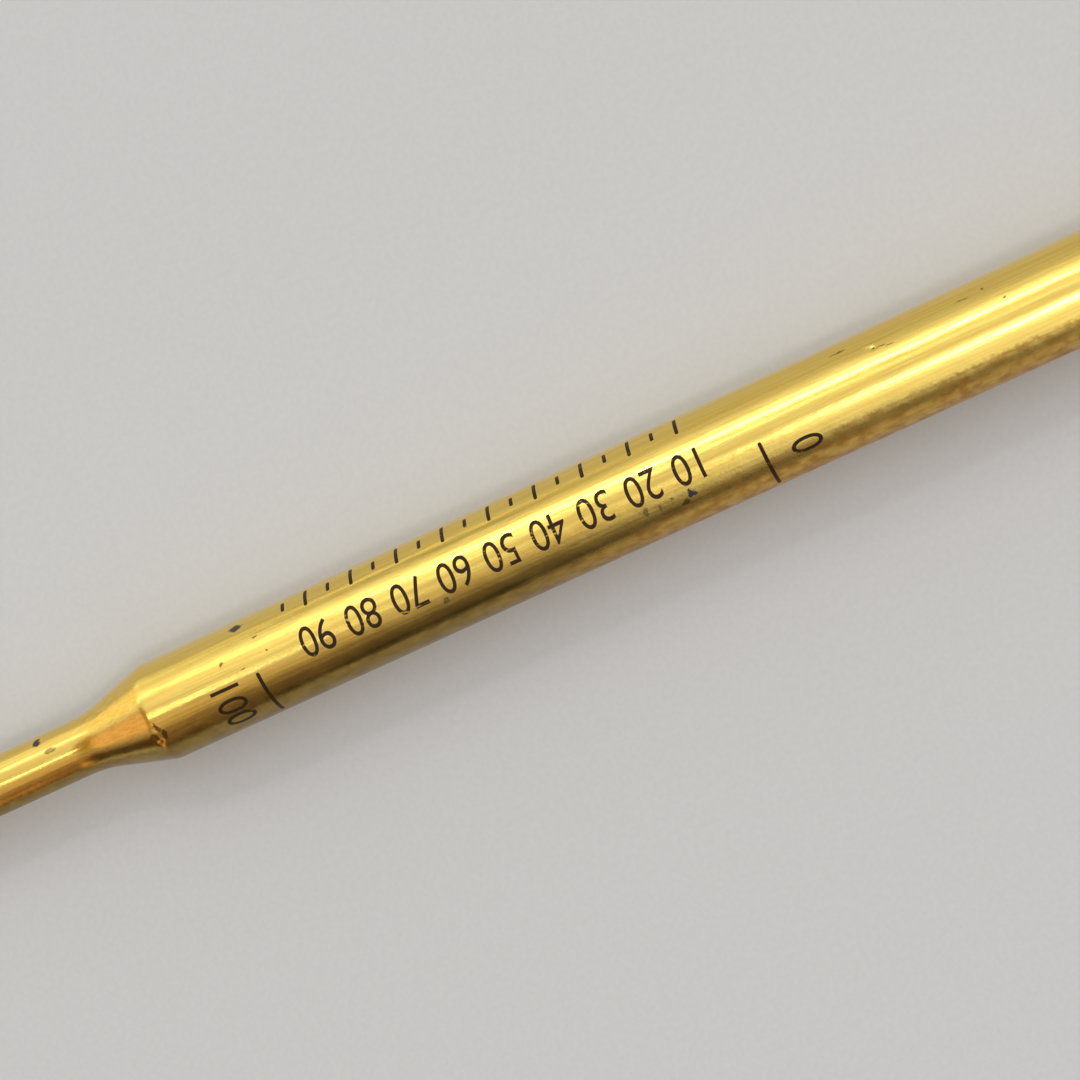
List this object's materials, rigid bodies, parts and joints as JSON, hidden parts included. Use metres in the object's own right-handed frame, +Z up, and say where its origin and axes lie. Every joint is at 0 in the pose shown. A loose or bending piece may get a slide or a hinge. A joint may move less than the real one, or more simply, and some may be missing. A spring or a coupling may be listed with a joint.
{
  "type": "ballpoint refill",
  "caption": "Brass ballpoint pen refill: a drawn tube necked down to a steel writing tip with a rolling ball, closed at the rear by a moulded plug with an indexing crown.",
  "frame": {"origin": "under the middle of the refill's length, on the surface that its barrel lies on", "axes": "+X along the refill from the ball to the rear plug, +Z up, square to the surface it lies on"},
  "size_m": [0.098, 0.006, 0.0059],
  "materials": {
    "drawn_brass": "satin",
    "stainless_steel": "satin",
    "polished_carbide": "polished",
    "blue_paste_ink": "gloss",
    "blue_plastic": "satin",
    "black_print": "satin"
  },
  "bodies": {
    "refill": {"ink_tube": "drawn_brass", "tip_socket": "stainless_steel", "ink_column": "blue_paste_ink", "rear_plug": "blue_plastic"},
    "ball": {"writing_ball": "polished_carbide"}
  },
  "joints": [
    {"name": "ball_roll", "type": "hinge", "parent": "refill", "child": "ball", "pos_m": [-0.04855, 0, 0.00297], "axis": [0, 1, 0], "continuous": true}
  ]
}
